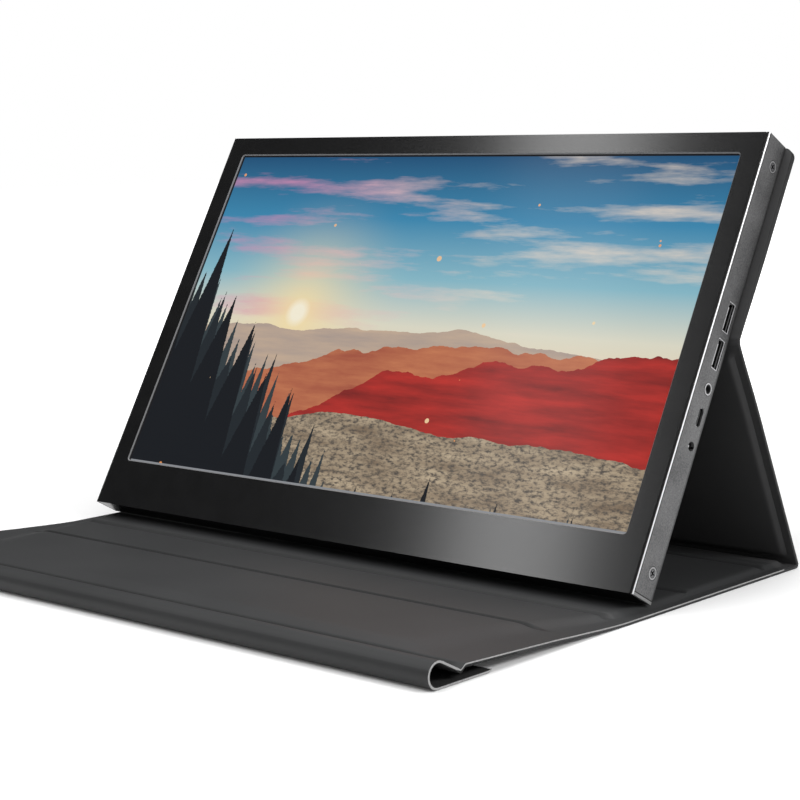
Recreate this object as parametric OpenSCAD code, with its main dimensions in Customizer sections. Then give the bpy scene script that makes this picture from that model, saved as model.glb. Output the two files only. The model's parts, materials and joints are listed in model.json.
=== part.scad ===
// Portable monitor in its folding cover, standing open on a table.
// Millimetres, +Z up, +Y away from the viewer, +X to the viewer's right. The table is Z = 0.
// The origin is the middle of the footprint. Lengths along the cover are measured from the
// display's lower back edge, which stands on the cover (the "stand frame").

/* [Display] */
// Width of the display, side plates included
disp_w = 371; // [300:1:420]
// Height of the display
disp_h = 232; // [200:1:270]
// Thickness of the display, front bezel to rear plate
disp_t = 16; // [14:0.5:24]
// Lean of the display from upright, in degrees
tilt = 29.4; // [24:0.2:36]
// Wall of the folded front housing
wall_t = 1.2; // [0.8:0.1:2]
// Thickness of each side plate
side_t = 1.6; // [1.2:0.1:2.4]
// Thickness of the rear plate
rear_t = 1.2; // [0.8:0.1:1.8]
// Bezel on each side of the window
bezel_side = 13.2; // [9:0.2:20]
// Bezel above the window
bezel_top = 11.4; // [8:0.2:18]
// Bezel below the window
chin_h = 26.8; // [20:0.2:32]
// Corner radius of the window
window_r = 1.5; // [0.5:0.1:4]
// Chamfer round the window
window_chamfer = 0.6; // [0.3:0.1:0.8]

/* [Ports on the right side plate] */
// Height of the power socket's centre, the lowest of the row
dc_h = 74.9; // [70:0.1:80]
// From the power socket up to the USB socket
usb_step = 14.4; // [12.5:0.1:17]
// From the USB socket up to the headphone socket
audio_step = 14.1; // [12:0.1:17]
// From the headphone socket up to the lower video socket
hdmi_step = 17.6; // [15:0.1:20]
// From the lower video socket up to the upper one
hdmi_pitch = 18.7; // [16.6:0.1:22]
// Opening of a video socket along the side
hdmi_w = 14.2; // [13:0.1:14.6]
// Opening of a video socket across the side
hdmi_t = 4.7; // [4.4:0.1:5]
// Diameter of the headphone socket's collar
audio_collar_d = 6.2; // [5.5:0.1:6.6]
// Bore of the headphone socket
audio_bore_d = 3.6; // [3.5:0.1:4]
// Opening of the USB socket along the side
usb_w = 8.9; // [8.4:0.1:9.2]
// Opening of the USB socket across the side
usb_t = 2.7; // [2.5:0.1:3]
// Bore of the power socket
dc_bore_d = 4.6; // [4:0.1:5]
// Depth of the port centres in front of the rear face
port_depth = 4.9; // [4.6:0.1:5.4]

/* [Screws] */
// Diameter of a side screw's countersunk head
side_head_d = 5.9; // [5:0.1:6.4]
// Diameter of a side screw's shank
side_shank_d = 3; // [2.5:0.1:3.2]
// Length of a side screw
side_screw_l = 7; // [5:0.5:8]
// Height of the lower side screws
side_screw_low = 13.1; // [12:0.1:15]
// Distance of the upper side screws from the top
side_screw_top = 13.5; // [11:0.1:15]
// Diameter of a rear screw's head
rear_head_d = 3.8; // [3:0.1:4.2]
// Diameter of a rear screw's shank
rear_shank_d = 2; // [1.6:0.1:2.4]

/* [Buttons on the left side plate] */
// Distance of the highest button's centre from the top
key_top = 28; // [26:1:40]
// Spacing of the buttons
key_pitch = 13; // [11.5:0.5:14]
// Length of a button
key_l = 8.4; // [7:0.1:9]
// Width of a button
key_w = 2.8; // [2:0.1:3.4]
// How far a button stands proud of the plate
key_proud = 0.7; // [0.5:0.05:1]
// Travel of a button
key_travel = 0.4; // [0.3:0.05:0.45]

/* [Cover] */
// Width of the cover
cover_w = 380; // [376:1:430]
// Thickness of a cover panel over its board
cover_t = 3.6; // [3.2:0.1:4.2]
// Thickness of each skin of the cover
skin_t = 0.8; // [0.6:0.05:1]
// Width of the thin rim along the cover's sides
rim_w = 8; // [5:0.5:12]
// Width of the bevel from a panel's top down to its rim
bevel_w = 2.2; // [1:0.1:3]
// Half the width of the thin band on each side of a fold line
fold_half = 3.4; // [3:0.1:5]
// Thickness of the panel on the display's back
back_t = 3.4; // [3:0.1:3.6]
// Corner radius at the top of the back panel
back_r = 5; // [2:0.5:12]
// Height on the display's back of the upper fold
crease_h = 131; // [120:1:140]
// Length of the stand flap, fold to fold
flap_len = 125; // [120:0.5:130]
// Length of the spine, fold to fold
spine_len = 21; // [19:0.5:26]
// Width of the spine's stiffener
spine_board_w = 12.6; // [10:0.2:13]
// Length of the base's rear panel
base_rear_len = 65; // [60:1:75]
// Length of the base's front panel, which the display stands on
base_front_len = 57; // [50:1:64]
// Length of the inner front leaf
leaf_inner_len = 39.5; // [34:0.5:46]
// Length of the outer front leaf
leaf_outer_len = 72.8; // [60:0.1:80]
// Rise of the inner front leaf, in degrees
leaf_inner_rise = 1.3; // [0.5:0.1:2]
// Rise of the outer front leaf, in degrees
leaf_outer_rise = 2.7; // [2.2:0.1:3.4]

/* [Closing tab] */
// Thickness of the closing tab
tab_t = 1.2; // [1:0.1:1.5]
// Radius of the curl, to the middle of the sheet
curl_r = 5.3; // [4.8:0.1:6]
// Distance of the curl's centre in front of the tab's fold
curl_reach = 12.6; // [11:0.1:15]
// How far the tab's end reaches back under the outer leaf
tab_under = 20; // [12:0.5:28]

/* [Hidden] */
$fn = 48;
eps = 0.01;
fit = 0.05;        // gap round a seated screw or socket
gap = 0.15;        // gap between the housing's folded sheets
seat_gap = 0.2;    // free gap under the display's lower edge, the opened link of the stand
fold_gap = 0.12;   // gap between two panels at a flat fold
bead_gap = 0.1;    // gap round the rounded skin of a fold

// Cover: places of the folds in the stand frame, as [y, z]
rim_t = 2 * skin_t;                    // thin rim: the two skins glued together
bead_r = cover_t / 2;                  // rounded skin of the rear fold
seat_z = cover_t + seat_gap;           // height of the display's lower back edge
upper_bead_r = 0.9;                    // rounded skin of the upper fold
upper_inset = 0.3;                     // upper fold axis inside the flap's outer face
crease_back = cover_t + seat_gap - upper_inset;  // and behind the display's back
upper_y = crease_h * sin(tilt) + crease_back * cos(tilt);
upper_z = seat_z + crease_h * cos(tilt) - crease_back * sin(tilt);
rear_z = bead_r;
rear_y = upper_y + sqrt(pow(flap_len, 2) - pow(upper_z - rear_z, 2));
flap_shift = bead_r - upper_inset;     // upper fold axis outside the flap's middle
flap_lean = atan2(rear_y - upper_y, upper_z - rear_z) + asin(flap_shift / flap_len);
flap_run = sqrt(pow(flap_len, 2) - pow(flap_shift, 2));
spine_y = rear_y - spine_len;          // fold between the spine and the base
fold_c_y = spine_y - base_rear_len;    // fold between the base's two panels
fold_a_y = fold_c_y - base_front_len;  // fold between the base and the inner leaf
fold_b_y = fold_a_y - leaf_inner_len * cos(leaf_inner_rise);
fold_b_z = rim_t + leaf_inner_len * sin(leaf_inner_rise);
tab_y = fold_b_y - leaf_outer_len * cos(leaf_outer_rise);
tab_z = fold_b_z + leaf_outer_len * sin(leaf_outer_rise);

// Curl of the closing tab
curl_out = curl_r + tab_t / 2;
curl_in = curl_r - tab_t / 2;
curl_y = tab_y - curl_reach;
curl_z = curl_out;
curl_dist = sqrt(pow(curl_reach, 2) + pow(tab_z - curl_z, 2));
curl_start = acos(curl_out / curl_dist) + atan2(tab_z - curl_z, curl_reach);
curl_split = 225;                      // where the tab's two parts meet on the curl
curl_end = 270;
split_gap = 1.2;                       // in degrees of the curl

// Footprint, which puts the origin in its middle
front_edge = curl_y - curl_out;
rear_edge = max(rear_y + bead_r, disp_h * sin(tilt) + back_t * cos(tilt));
shift_y = -(front_edge + rear_edge) / 2;

// Display: the window, and places along the depth (y = 0 is the rear face)
window_w = disp_w - 2 * bezel_side;
window_h = disp_h - chin_h - bezel_top;
side_screw_high = disp_h - side_screw_top;
core_w = disp_w - 2 * (side_t + gap);  // width of the housing between the side plates
plate_x = disp_w / 2 - side_t;         // inner face of a side plate
usb_h = dc_h + usb_step;
audio_h = usb_h + audio_step;
hdmi_lower_h = audio_h + hdmi_step;
hdmi_upper_h = hdmi_lower_h + hdmi_pitch;
panel_side = 7.4;                      // display module past the window
panel_head = 5.7;
panel_foot = 1.4;
panel_w = window_w + 2 * panel_side;
panel_low = wall_t + panel_foot;
panel_high = chin_h + window_h + panel_head;
tape_t = 0.3;
glass_t = 1.1;
diffuser_t = 0.4;
guide_t = 0.9;
reflector_t = 0.2;
tray_t = 0.4;
tape_y = -disp_t + wall_t;             // front face of the tape, on the bezel's back
glass_y = tape_y + tape_t;
diffuser_y = glass_y + glass_t;
guide_y = diffuser_y + diffuser_t;
reflector_y = guide_y + guide_t;
tray_y = reflector_y + reflector_t;
tray_back = tray_y + tray_t;
sheet_inset = 4;                       // tray's rim round the sheets
led_h = 3;                             // height of the light strip under the guide

board_t = 1.2;
board_y = -9.8;                        // front face of the main board
board_back = board_y + board_t;
board_w = 64;
board_low = 64;
board_high = 154;
board_x = plate_x - 1 - board_w;       // left edge of the main board
standoff_d = 4.6;
standoff_inset = 5;
block_l = 12;                          // corner blocks, along X
block_d = 8.6;                         // corner blocks, front to back
block_h = 6;                           // half height round the side screw
side_screw_y = -5.6;
rear_screw_x = plate_x - block_l + 3;
rear_screw_l = 5;

speaker_in = 57.5;                     // speaker's middle from the display's side
speaker_x = disp_w / 2 - speaker_in;
speaker_h = 30;
speaker_l = 40;
speaker_w = 20;
speaker_t = 4.5;
slot_l = 26;
slot_w = 1.4;
slot_pitch = 3;
slot_count = 5;

key_flange = 0.8;                      // collar that keeps a button in its plate
key_flange_lip = 0.9;
key_fit = 0.15;                        // gap round a button in its slot
key_stem_l = 1.4;
key_stem_w = 1.8;
switch_w = 3.6;
switch_t = 3;
key_y = -8;                            // depth of the button row
key_board_w = 7;
key_count = 5;
key_low_h = disp_h - key_top - (key_count - 1) * key_pitch;
key_names_h = [for (i = [0 : key_count - 1]) key_low_h + i * key_pitch];

magnet_d = 10;
magnet_t = 1;
magnet_h = 32;                         // where the closing tab's end meets the display's back
magnet_edge = 25.5;                    // from the display's side to the outer magnets
magnet_x = [for (k = [-1, -3 / 8, 3 / 8, 1]) k * (disp_w / 2 - magnet_edge)];
tab_magnet_d = 8;
tab_magnet_t = 0.5;
tab_magnet_y = 8;                      // behind the tab's fold

// ---------------------------------------------------------------- frames

module stand() translate([0, shift_y, 0]) children();

// Display frame: origin on its lower back edge, z up the display, y out of its back
module on_display() stand() translate([0, 0, seat_z]) rotate([-tilt, 0, 0]) children();

// Flap frame: origin on the rear fold, z up the flap, y out of its outer face
module on_flap() stand() translate([0, rear_y, rear_z]) rotate([flap_lean, 0, 0]) children();

module on_leaf_inner()
    stand() translate([0, fold_a_y, rim_t]) rotate([-leaf_inner_rise, 0, 0])
        translate([0, 0, -rim_t]) children();

module on_leaf_outer()
    stand() translate([0, fold_b_y, fold_b_z]) rotate([-leaf_outer_rise, 0, 0])
        translate([0, 0, -rim_t]) children();

// ---------------------------------------------------------------- shapes

// A profile drawn as [y, z], run along X and centred on it
module along_x(width)
    translate([-width / 2, 0, 0]) rotate([90, 0, 90]) linear_extrude(width) children();

// A box centred on X, from low to high in y and z
module bar(width, low_y, high_y, low_z, high_z)
    translate([-width / 2, low_y, low_z]) cube([width, high_y - low_y, high_z - low_z]);

// A plate with round corners in the display's XZ plane, from low_y to high_y
module round_plate(width, low_z, high_z, low_y, high_y, r)
    translate([0, high_y, 0]) rotate([90, 0, 0]) linear_extrude(high_y - low_y)
        translate([0, (low_z + high_z) / 2]) round_rect(width, high_z - low_z, r);

module round_rect(w, h, r) {
    square([w - 2 * r, h], center = true);
    square([w, h - 2 * r], center = true);
    for (x = [-1, 1], y = [-1, 1]) translate([x * (w / 2 - r), y * (h / 2 - r)]) circle(r);
}

// A flat oval, long along Y
module oval(l, w) {
    square([w, l - w], center = true);
    for (s = [-1, 1]) translate([0, s * (l - w) / 2]) circle(w / 2);
}

// The raised part of a panel over its board, from y0 to y1, with bevels on all four sides
module raised(y0, y1, low_z, high_z, rim, inset = 0) {
    half = cover_w / 2 - rim - inset;
    rise = high_z - low_z;
    run = bevel_w * rise / (cover_t - rim_t);
    intersection() {
        along_x(cover_w) polygon([[y0, low_z], [y1, low_z],
            [y1 - run, high_z], [y0 + run, high_z]]);
        translate([0, y1, 0]) rotate([90, 0, 0]) linear_extrude(y1 - y0)
            polygon([[-half, low_z], [half, low_z], [half - run, high_z], [-half + run, high_z]]);
    }
}

// Board pocket of a flat panel between two folds
module panel_board(y0, y1)
    bar(cover_w - 2 * (rim_w + bevel_w), y0 + bevel_w, y1 - bevel_w, skin_t, cover_t - skin_t);

module panel_skin(y0, y1) bar(cover_w, y0, y1, 0, skin_t);

// Inner lining: a thin sheet that rises over each board in boards, a list of [y0, y1]
module panel_lining(y0, y1, boards)
    difference() {
        union() {
            bar(cover_w, y0, y1, skin_t, rim_t);
            for (b = boards) raised(b[0], b[1], rim_t - eps, cover_t, rim_w);
        }
        for (b = boards) panel_board(b[0], b[1]);
    }

// ---------------------------------------------------------------- display housing

module front_housing() color("#1b1b1c") on_display()
    difference() {
        union() {
            round_plate(core_w, 0, disp_h, -disp_t, -disp_t + wall_t, 0.6);
            bar(core_w, -disp_t + wall_t / 2, 0, disp_h - wall_t, disp_h);
            bar(core_w, -disp_t + wall_t / 2, 0, 0, wall_t);
        }
        round_plate(window_w, chin_h, chin_h + window_h, -disp_t - 1, -disp_t + wall_t + 1,
            window_r);
        hull() {
            round_plate(window_w, chin_h, chin_h + window_h, -disp_t + window_chamfer - eps,
                -disp_t + window_chamfer, window_r);
            round_plate(window_w + 2 * window_chamfer, chin_h - window_chamfer,
                chin_h + window_h + window_chamfer, -disp_t - eps, -disp_t,
                window_r + window_chamfer);
        }
    }

// Blank of a side plate on the +X side, with its front edge chamfered
module side_blank(chamfer = 0.7)
    difference() {
        translate([plate_x, -disp_t, 0]) cube([side_t, disp_t, disp_h]);
        translate([disp_w / 2, -disp_t, disp_h / 2]) rotate([0, 0, 45])
            cube([chamfer * sqrt(2), chamfer * sqrt(2), disp_h + 2], center = true);
    }

module side_screw_holes()
    for (h = [side_screw_low, side_screw_high]) translate([disp_w / 2, side_screw_y, h])
        rotate([0, -90, 0]) {
            translate([0, 0, -1]) cylinder(d = side_head_d + 2 * fit, h = 1 + eps);
            cylinder(d1 = side_head_d + 2 * fit, d2 = side_shank_d + 2 * fit, h = side_t - 0.1);
            cylinder(d = side_shank_d + 2 * fit, h = side_screw_l);
        }

module right_side_plate() color("#5f5f61") on_display()
    difference() {
        side_blank();
        side_screw_holes();
        for (h = [hdmi_upper_h, hdmi_lower_h]) port_cut(h)
            round_rect(hdmi_t + 1 + 2 * fit, hdmi_w + 1 + 2 * fit, 0.8);
        port_cut(audio_h) circle(d = audio_collar_d + 2 * fit);
        port_cut(usb_h) oval(usb_w + 0.6 + 2 * fit, usb_t + 0.6 + 2 * fit);
        port_cut(dc_h) circle(d = dc_bore_d);
    }

// A cut through the right side plate at a port: children are drawn as [depth, height]
module port_cut(h)
    translate([plate_x - 1, -port_depth, h]) rotate([90, 0, 90]) linear_extrude(side_t + 2)
        children();

module left_side_plate() color("#5f5f61") on_display()
    difference() {
        mirror([1, 0, 0]) difference() {
            side_blank();
            side_screw_holes();
        }
        for (h = key_names_h) translate([-plate_x + 1, key_y, h]) rotate([90, 0, -90])
            linear_extrude(side_t + 2) oval(key_l + 2 * key_fit, key_w + 2 * key_fit);
    }

module rear_plate() color("#202021") on_display()
    difference() {
        bar(core_w, -rear_t, 0, wall_t + gap, disp_h - wall_t - gap);
        rear_screw_holes();
        for (s = [-1, 1], i = [0 : slot_count - 1])
            translate([s * speaker_x, 1, speaker_h + (i - (slot_count - 1) / 2) * slot_pitch])
                rotate([90, 90, 0]) linear_extrude(rear_t + 2) oval(slot_l, slot_w);
    }

module at_rear_screws()
    for (s = [-1, 1], h = [side_screw_low, side_screw_high]) translate([s * rear_screw_x, 0, h])
        rotate([90, 0, 0]) children();

module rear_screw_holes()
    at_rear_screws() {
        translate([0, 0, -1]) cylinder(d = rear_head_d + 2 * fit, h = 1 + eps);
        cylinder(d1 = rear_head_d + 2 * fit, d2 = rear_shank_d + 2 * fit, h = rear_t - 0.1);
        cylinder(d = rear_shank_d + 2 * fit, h = rear_screw_l);
    }

module rear_screws() color("#3a3a3c") on_display()
    at_rear_screws() difference() {
        union() {
            cylinder(d1 = rear_head_d, d2 = rear_shank_d, h = rear_t - 0.15);
            cylinder(d = rear_shank_d, h = rear_screw_l - 0.2);
        }
        cross_recess(1.9, 0.5, 0.6);
    }

module side_screws() color("#8a8a8d") on_display()
    for (m = [0, 1]) mirror([m, 0, 0]) for (h = [side_screw_low, side_screw_high])
        translate([disp_w / 2, side_screw_y, h]) rotate([0, -90, 0]) difference() {
            union() {
                cylinder(d1 = side_head_d, d2 = side_shank_d, h = side_t - 0.15);
                cylinder(d = side_shank_d, h = side_screw_l - 0.2);
            }
            cross_recess(3.2, 0.8, 0.9);
        }

module cross_recess(l, w, depth)
    for (a = [0, 90]) rotate([0, 0, a + 20]) translate([-l / 2, -w / 2, -eps])
        cube([l, w, depth]);

// Blocks in the four corners, which the side plates and the rear plate are screwed to
module corner_blocks() color("#9a9a9c") on_display()
    difference() {
        for (s = [-1, 1]) {
            corner_block(s, wall_t, side_screw_low + block_h);
            corner_block(s, side_screw_high - block_h, disp_h - wall_t);
        }
        side_screw_holes();
        mirror([1, 0, 0]) side_screw_holes();
        rear_screw_holes();
    }

module corner_block(s, low, high)
    translate([s * (plate_x - block_l / 2), -rear_t - block_d / 2, (low + high) / 2])
        cube([block_l, block_d, high - low], center = true);

// ---------------------------------------------------------------- display module

module panel_tape() color("#101010") on_display()
    difference() {
        bar(panel_w, tape_y, glass_y, panel_low, panel_high);
        bar(window_w + 2, tape_y - 1, glass_y + 1, chin_h - 1, chin_h + window_h + 1);
    }

module lcd_glass() color("#274b66") on_display()
    bar(panel_w, glass_y, diffuser_y, panel_low, panel_high);

module diffuser_sheet() color("#f4f4f0") on_display()
    bar(panel_w - 2 * sheet_inset, diffuser_y, guide_y, chin_h - 3, panel_high - sheet_inset);

module light_guide() color("#dfeaf2") on_display()
    bar(panel_w - 2 * sheet_inset, guide_y, reflector_y, chin_h - 3, panel_high - sheet_inset);

module reflector_sheet() color("#fafafa") on_display()
    bar(panel_w - 2 * sheet_inset, reflector_y, tray_y, chin_h - 3, panel_high - sheet_inset);

module led_strip() color("#fff2b0") on_display()
    bar(panel_w - 2 * sheet_inset - 4, guide_y, tray_y, chin_h - 3 - led_h, chin_h - 3.1);

module panel_tray() color("#a8abad") on_display()
    difference() {
        bar(panel_w, diffuser_y, tray_back, panel_low, panel_high);
        bar(panel_w - 2 * sheet_inset, diffuser_y - 1, tray_y, chin_h - 3 - led_h - 0.1,
            panel_high - sheet_inset);
    }

driver_in = 30;
driver_w = panel_w - 2 * driver_in;
driver_low = 2;
driver_h = 11;
module panel_driver_board() color("#1d6b3a") on_display()
    bar(driver_w, tray_back, tray_back + driver_t, panel_low + driver_low,
        panel_low + driver_low + driver_h);

// ---------------------------------------------------------------- electronics

module board_corners()
    for (x = [board_x + standoff_inset, board_x + board_w - standoff_inset - 9],
         z = [board_low + standoff_inset, board_high - standoff_inset])
        translate([x, 0, z]) children();

module main_board() color("#14532d") on_display()
    difference() {
        translate([board_x, board_y, board_low])
            cube([board_w, board_t, board_high - board_low]);
        board_corners() rotate([-90, 0, 0]) translate([0, 0, board_y - 1])
            cylinder(d = 2.2, h = board_t + 2);
    }

module board_standoffs() color("#c8a24a") on_display()
    board_corners() difference() {
        rotate([-90, 0, 0]) translate([0, 0, board_back])
            cylinder(d = standoff_d, h = -rear_t - board_back);
        rotate([-90, 0, 0]) translate([0, 0, board_back - eps]) cylinder(d = 2.1, h = 4.2);
    }

module board_screws() color("#b0b0b0") on_display()
    board_corners() rotate([-90, 0, 0]) {
        translate([0, 0, board_y - 1]) cylinder(d = 4, h = 1);
        translate([0, 0, board_y - eps]) cylinder(d = 2, h = board_t + 4);
    }

// Chips on the main board: place from its lower left corner, then length, thickness, height
scaler_at = [18, 48];
scaler = [14, 1.2, 14];
memory_at = [20, 24];
memory = [9, 1, 8];
coil_at = [8, 70];
coil = [8, 2.6, 8];
charger_at = [34, 32];
charger = [6, 1, 5];
module chip(at, size)
    translate([board_x + at[0], board_back, board_low + at[1]]) cube(size);
module board_chips() color("#26262a") on_display() {
    chip(scaler_at, scaler);
    chip(memory_at, memory);
    chip(coil_at, coil);
    chip(charger_at, charger);
}

// A socket frame: origin on the side plate's inner face at a port, x points out of the side
module at_port(h) translate([plate_x, -port_depth, h]) children();

module hdmi_ports() color("#b9bbbd") on_display()
    for (h = [hdmi_upper_h, hdmi_lower_h]) at_port(h) hdmi_port();

module hdmi_port() {
    depth = 11.5;
    difference() {
        union() {
            translate([side_t - 0.3 - depth, 0, 0]) rotate([90, 0, 90]) linear_extrude(depth)
                round_rect(hdmi_t + 1, hdmi_w + 1, 0.7);
            pedestal(depth - side_t, hdmi_w, hdmi_t / 2);
        }
        translate([side_t - depth + 1.5, 0, 0]) rotate([90, 0, 90]) linear_extrude(depth)
            round_rect(hdmi_t, hdmi_w, 0.5);
    }
    translate([side_t - depth + 1.4, -0.6, -5.4]) cube([depth - side_t - 1.8, 1.2, 10.8]);
}

// Foot of a socket, down to the main board
module pedestal(l, w, start)
    translate([-l, board_back + port_depth, -w / 2])
        cube([l - 0.2, -start - 0.2 - board_back - port_depth, w]);

module audio_jack() color("#2b2b2d") on_display() at_port(audio_h)
    difference() {
        union() {
            translate([-1, 0, 0]) rotate([0, 90, 0])
                cylinder(d = audio_collar_d, h = side_t + 1.1);
            translate([-12, board_back + port_depth, -3.2])
                cube([11.95, -board_back - port_depth + 2.6, 6.4]);
        }
        translate([-10.5, 0, 0]) rotate([0, 90, 0]) cylinder(d = audio_bore_d, h = 14);
    }

module usb_c_port() color("#b9bbbd") on_display() at_port(usb_h) {
    depth = 7.5;
    difference() {
        union() {
            translate([side_t - 0.3 - depth, 0, 0]) rotate([90, 0, 90]) linear_extrude(depth)
                oval(usb_w + 0.6, usb_t + 0.6);
            pedestal(depth - side_t, usb_w - 1, usb_t / 2);
        }
        translate([side_t - depth + 1.2, 0, 0]) rotate([90, 0, 90]) linear_extrude(depth)
            oval(usb_w, usb_t);
    }
    translate([-depth + side_t + 0.5, -0.35, -3.3]) cube([depth - side_t - 0.3, 0.7, 6.6]);
}

module dc_jack() color("#2b2b2d") on_display() at_port(dc_h) {
    difference() {
        translate([-11, board_back + port_depth, -3.4])
            cube([10.95, -board_back - port_depth + 3, 6.8]);
        translate([-9, 0, 0]) rotate([0, 90, 0]) cylinder(d = dc_bore_d, h = 12);
    }
    translate([-9.5, 0, 0]) rotate([0, 90, 0]) cylinder(d = 1.3, h = 9.5);
}

cable_x = 40;
cable_w = 12;
cable_t = 0.3;
cable_h = 81;                          // height of its run across to the main board
driver_t = 0.8;
cable_y = tray_back + driver_t;
module panel_cable() color("#c9a86a") on_display() {
    translate([cable_x, cable_y, panel_low + 4]) cube([cable_w, cable_t, cable_h - panel_low]);
    translate([cable_x, cable_y, cable_h]) cube([board_x - cable_x + 6, cable_t, cable_w]);
    translate([board_x + 1, cable_y + cable_t - eps, cable_h])
        cube([5, board_y - cable_y - cable_t + eps, cable_w]);
}

module speakers() color("#1a1a1c") on_display()
    for (s = [-1, 1]) translate([s * speaker_x, -rear_t - speaker_t / 2, speaker_h])
        difference() {
            cube([speaker_l, speaker_t, speaker_w], center = true);
            translate([0, speaker_t / 2, 0]) rotate([90, 0, 0])
                cylinder(d = speaker_w - 4, h = 2, center = true);
        }

// ---------------------------------------------------------------- buttons

module key_board() color("#14532d") on_display()
    translate([-plate_x + key_flange + key_stem_l + key_travel + 0.1 + switch_t, key_y
        - key_board_w / 2, key_low_h - 7])
        cube([1, key_board_w, key_pitch * (key_count - 1) + 14]);

module key_switches() color("#c0c0c0") on_display()
    for (h = key_names_h)
        translate([-plate_x + key_flange + key_stem_l + key_travel + 0.1, key_y - switch_w / 2,
            h - switch_w / 2]) cube([switch_t, switch_w, switch_w]);

// A button at rest: the cap stands proud of the left plate, its collar lies behind the plate
module button(i) color("#2c2c2e") on_display()
    translate([-plate_x, key_y, key_names_h[i]]) {
        translate([-side_t - key_proud, 0, 0]) rotate([90, 0, 90])
            linear_extrude(side_t + key_proud + fit) oval(key_l, key_w);
        translate([fit, 0, 0]) rotate([90, 0, 90]) linear_extrude(key_flange - fit)
            oval(key_l + 2 * key_flange_lip, key_w + 2 * key_flange_lip);
        translate([key_flange - eps, -key_stem_w / 2, -key_stem_w / 2])
            cube([key_stem_l + eps, key_stem_w, key_stem_w]);
    }

module source_button() button(0);
module minus_button() button(1);
module plus_button() button(2);
module menu_button() button(3);
module power_button() button(4);

// ---------------------------------------------------------------- back panel of the cover

adhesive_t = 0.4;
back_low = crease_h + fold_half;       // lower edge of the panel's board

module back_outline(low, high, inset, r)
    translate([0, (low + high) / 2]) round_rect(cover_w - 2 * inset, high - low, r);

// Outer skin: wraps the board's back, and runs down to the upper fold as a thin band
module back_panel_skin() color("#2b2b2d") on_display()
    difference() {
        union() {
            translate([0, back_t, 0]) rotate([90, 0, 0]) linear_extrude(back_t - adhesive_t)
                intersection() {
                    back_outline(back_low - 2 * back_r, disp_h, 0, back_r);
                    translate([-cover_w, back_low - 1]) square([2 * cover_w, disp_h]);
                }
            bar(cover_w, back_t - rim_t, back_t, crease_h + fold_gap, back_low + eps);
        }
        back_board_space();
        upper_bead_space();
    }

module back_board_space()
    bar(cover_w - 2 * back_r, adhesive_t - 1, back_t - skin_t, back_low + skin_t,
        disp_h - skin_t);

module back_panel_board() color("#7b6f5c") on_display()
    bar(cover_w - 2 * back_r - 2 * fit, adhesive_t, back_t - skin_t, back_low + skin_t + fit,
        disp_h - skin_t - fit) ;

module back_panel_adhesive() color("#3c3c3e") on_display()
    bar(disp_w - 8, 0, adhesive_t, back_low + 2, disp_h - 3);

module display_magnets() color("#9b9ea2") on_display()
    for (x = magnet_x) translate([x, -rear_t - magnet_t, magnet_h])
        rotate([-90, 0, 0]) cylinder(d = magnet_d, h = magnet_t);

module upper_bead_space()
    translate([0, crease_back, crease_h]) rotate([0, 90, 0])
        cylinder(r = upper_bead_r + bead_gap, h = 2 * cover_w, center = true);

module upper_crease() color("#232325") on_display()
    translate([0, crease_back, crease_h]) rotate([0, 90, 0])
        cylinder(r = upper_bead_r, h = cover_w, center = true);

// ---------------------------------------------------------------- stand flap

flap_low = fold_half + 2;              // the flap's raised part, along the flap
flap_high = flap_run - fold_half - 1;

// The flap lies in a panel frame turned so that its outer face looks along +Y
module flap_frame() on_flap() translate([0, bead_r, 0]) rotate([90, 0, 0]) children();

module flap_ends_space() {
    on_flap() rotate([0, 90, 0])
        cylinder(r = bead_r + bead_gap, h = 2 * cover_w, center = true);
    on_flap() translate([0, flap_shift, flap_run]) rotate([0, 90, 0])
        cylinder(r = upper_bead_r + bead_gap, h = 2 * cover_w, center = true);
}

module flap_skin() color("#29292b")
    difference() {
        flap_frame() panel_skin(0, flap_run - fold_gap);
        flap_ends_space();
    }

module flap_board() color("#7b6f5c") flap_frame() panel_board(flap_low, flap_high);

module flap_lining() color("#232324")
    difference() {
        flap_frame() panel_lining(0, flap_run - fold_gap, [[flap_low, flap_high]]);
        flap_ends_space();
    }

module rear_crease() color("#232325") stand()
    translate([0, rear_y, rear_z]) rotate([0, 90, 0])
        cylinder(r = bead_r, h = cover_w, center = true);

// ---------------------------------------------------------------- spine and base

module rear_bead_space()
    translate([0, rear_y, rear_z]) rotate([0, 90, 0])
        cylinder(r = bead_r + bead_gap, h = 2 * cover_w, center = true);

spine_boards = [[spine_y + fold_half, spine_y + fold_half + spine_board_w]];

module spine_skin() color("#2f2f31") stand()
    difference() {
        panel_skin(spine_y + fold_gap, rear_y);
        rear_bead_space();
    }

module spine_board() color("#7b6f5c") stand()
    panel_board(spine_boards[0][0], spine_boards[0][1]);

module spine_lining() color("#414143") stand()
    difference() {
        panel_lining(spine_y + fold_gap, rear_y, spine_boards);
        rear_bead_space();
    }

base_rear_span = [fold_c_y + fold_half, spine_y - fold_half];
base_front_span = [fold_a_y + fold_half, fold_c_y - fold_half];
module base_skin() color("#2f2f31") stand() panel_skin(fold_a_y, spine_y);
module base_rear_board() color("#7b6f5c") stand()
    panel_board(base_rear_span[0], base_rear_span[1]);
module base_front_board() color("#7b6f5c") stand()
    panel_board(base_front_span[0], base_front_span[1]);
module base_lining() color("#434345") stand()
    panel_lining(fold_a_y, spine_y, [base_front_span, base_rear_span]);

// ---------------------------------------------------------------- front leaves

inner_boards = [[-leaf_inner_len + fold_half, -fold_half]];
module leaf_inner_skin() color("#2f2f31") on_leaf_inner()
    panel_skin(-leaf_inner_len, -fold_gap);
module leaf_inner_board() color("#7b6f5c") on_leaf_inner()
    panel_board(inner_boards[0][0], inner_boards[0][1]);
module leaf_inner_lining() color("#434345") on_leaf_inner()
    panel_lining(-leaf_inner_len, -fold_gap, inner_boards);

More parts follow.
